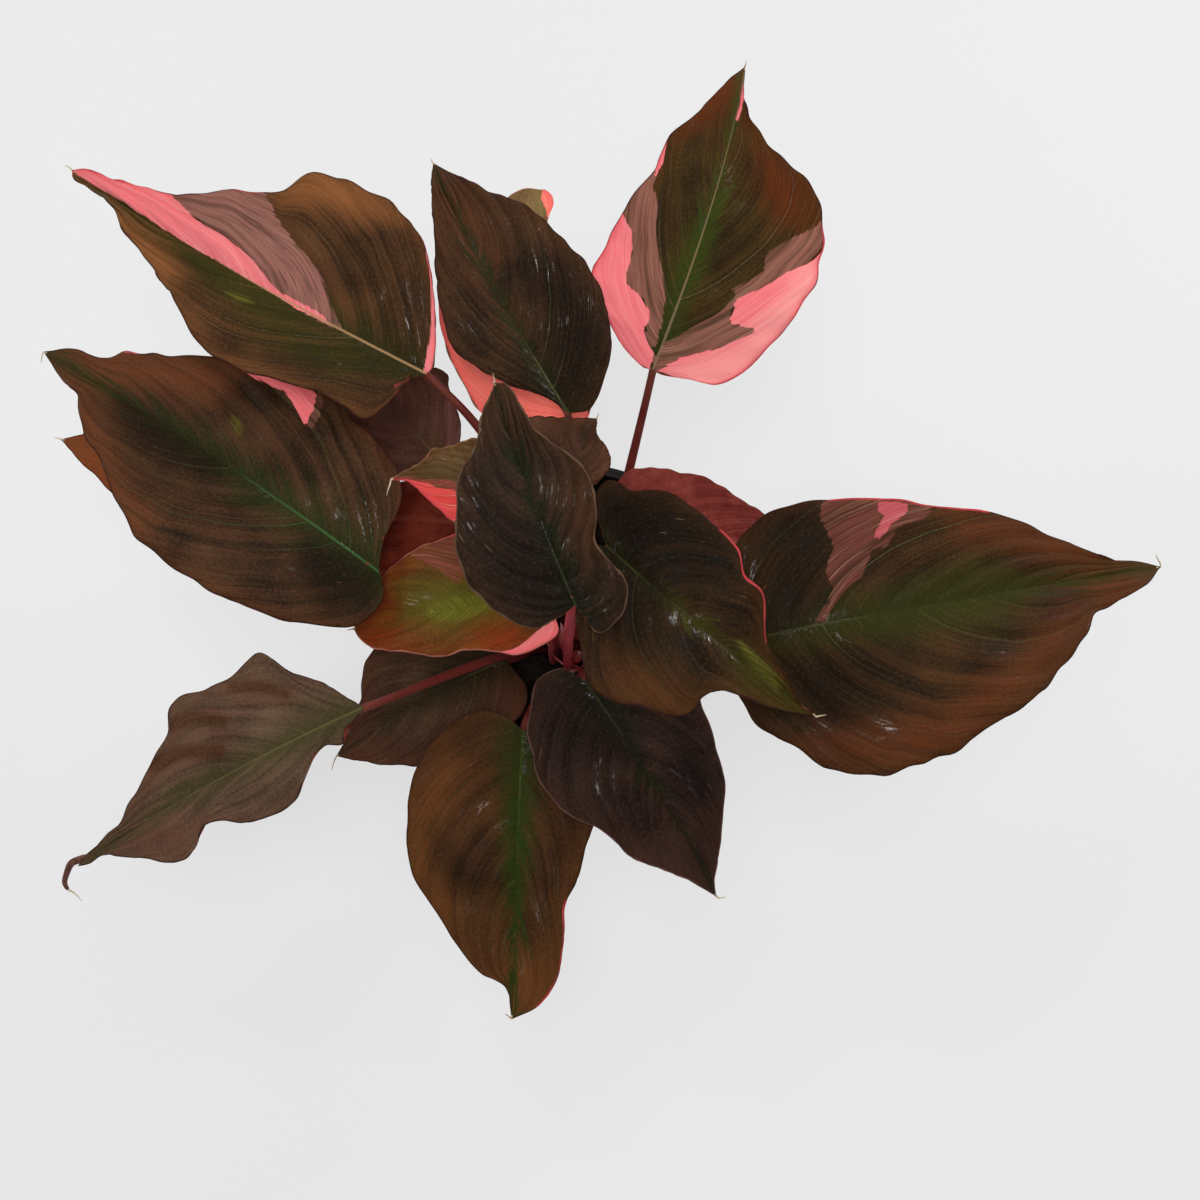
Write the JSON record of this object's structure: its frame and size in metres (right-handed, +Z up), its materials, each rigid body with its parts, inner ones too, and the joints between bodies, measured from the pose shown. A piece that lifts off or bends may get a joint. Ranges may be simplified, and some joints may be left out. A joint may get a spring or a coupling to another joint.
{
  "type": "potted homalomena plant",
  "caption": "Potted variegated homalomena with pointed bronze and green leaves, pink patches and red stalks, rooted in dark soil in a round black nursery pot.",
  "frame": {"origin": "middle of the flat underside of the pot", "axes": "+Z up out of the pot, +X to the right in the picture, +Y towards the top of the picture"},
  "size_m": [0.3833, 0.3174, 0.2019],
  "materials": {
    "pot": "satin",
    "soil": "matte",
    "crown": "satin",
    "stalk": "satin",
    "leaf": "satin"
  },
  "bodies": {
    "root": {"pot": "pot", "soil": "soil", "crown": "crown", "leaf_upper_left": "leaf", "stalk_upper_left": "stalk", "leaf_upper_middle": "leaf", "stalk_upper_middle": "stalk", "leaf_under_upper_middle": "leaf", "stalk_under_upper_middle": "stalk", "leaf_upper_right": "leaf", "stalk_upper_right": "stalk", "leaf_left_big": "leaf", "stalk_left_big": "stalk", "leaf_under_left": "leaf", "stalk_under_left": "stalk", "leaf_lower_left": "leaf", "stalk_lower_left": "stalk", "leaf_under_lower_left": "leaf", "stalk_under_lower_left": "stalk", "leaf_bottom": "leaf", "stalk_bottom": "stalk", "leaf_bottom_right": "leaf", "stalk_bottom_right": "stalk", "leaf_right_big": "leaf", "stalk_right_big": "stalk", "leaf_centre_right": "leaf", "stalk_centre_right": "stalk", "leaf_centre": "leaf", "stalk_centre": "stalk", "leaf_centre_left": "leaf", "stalk_centre_left": "stalk", "leaf_red_underside": "leaf", "stalk_red_underside": "stalk", "leaf_amber": "leaf", "stalk_amber": "stalk", "leaf_behind_left": "leaf", "stalk_behind_left": "stalk", "leaf_behind_top": "leaf", "stalk_behind_top": "stalk", "leaf_behind_right": "leaf", "stalk_behind_right": "stalk"}
  },
  "joints": []
}
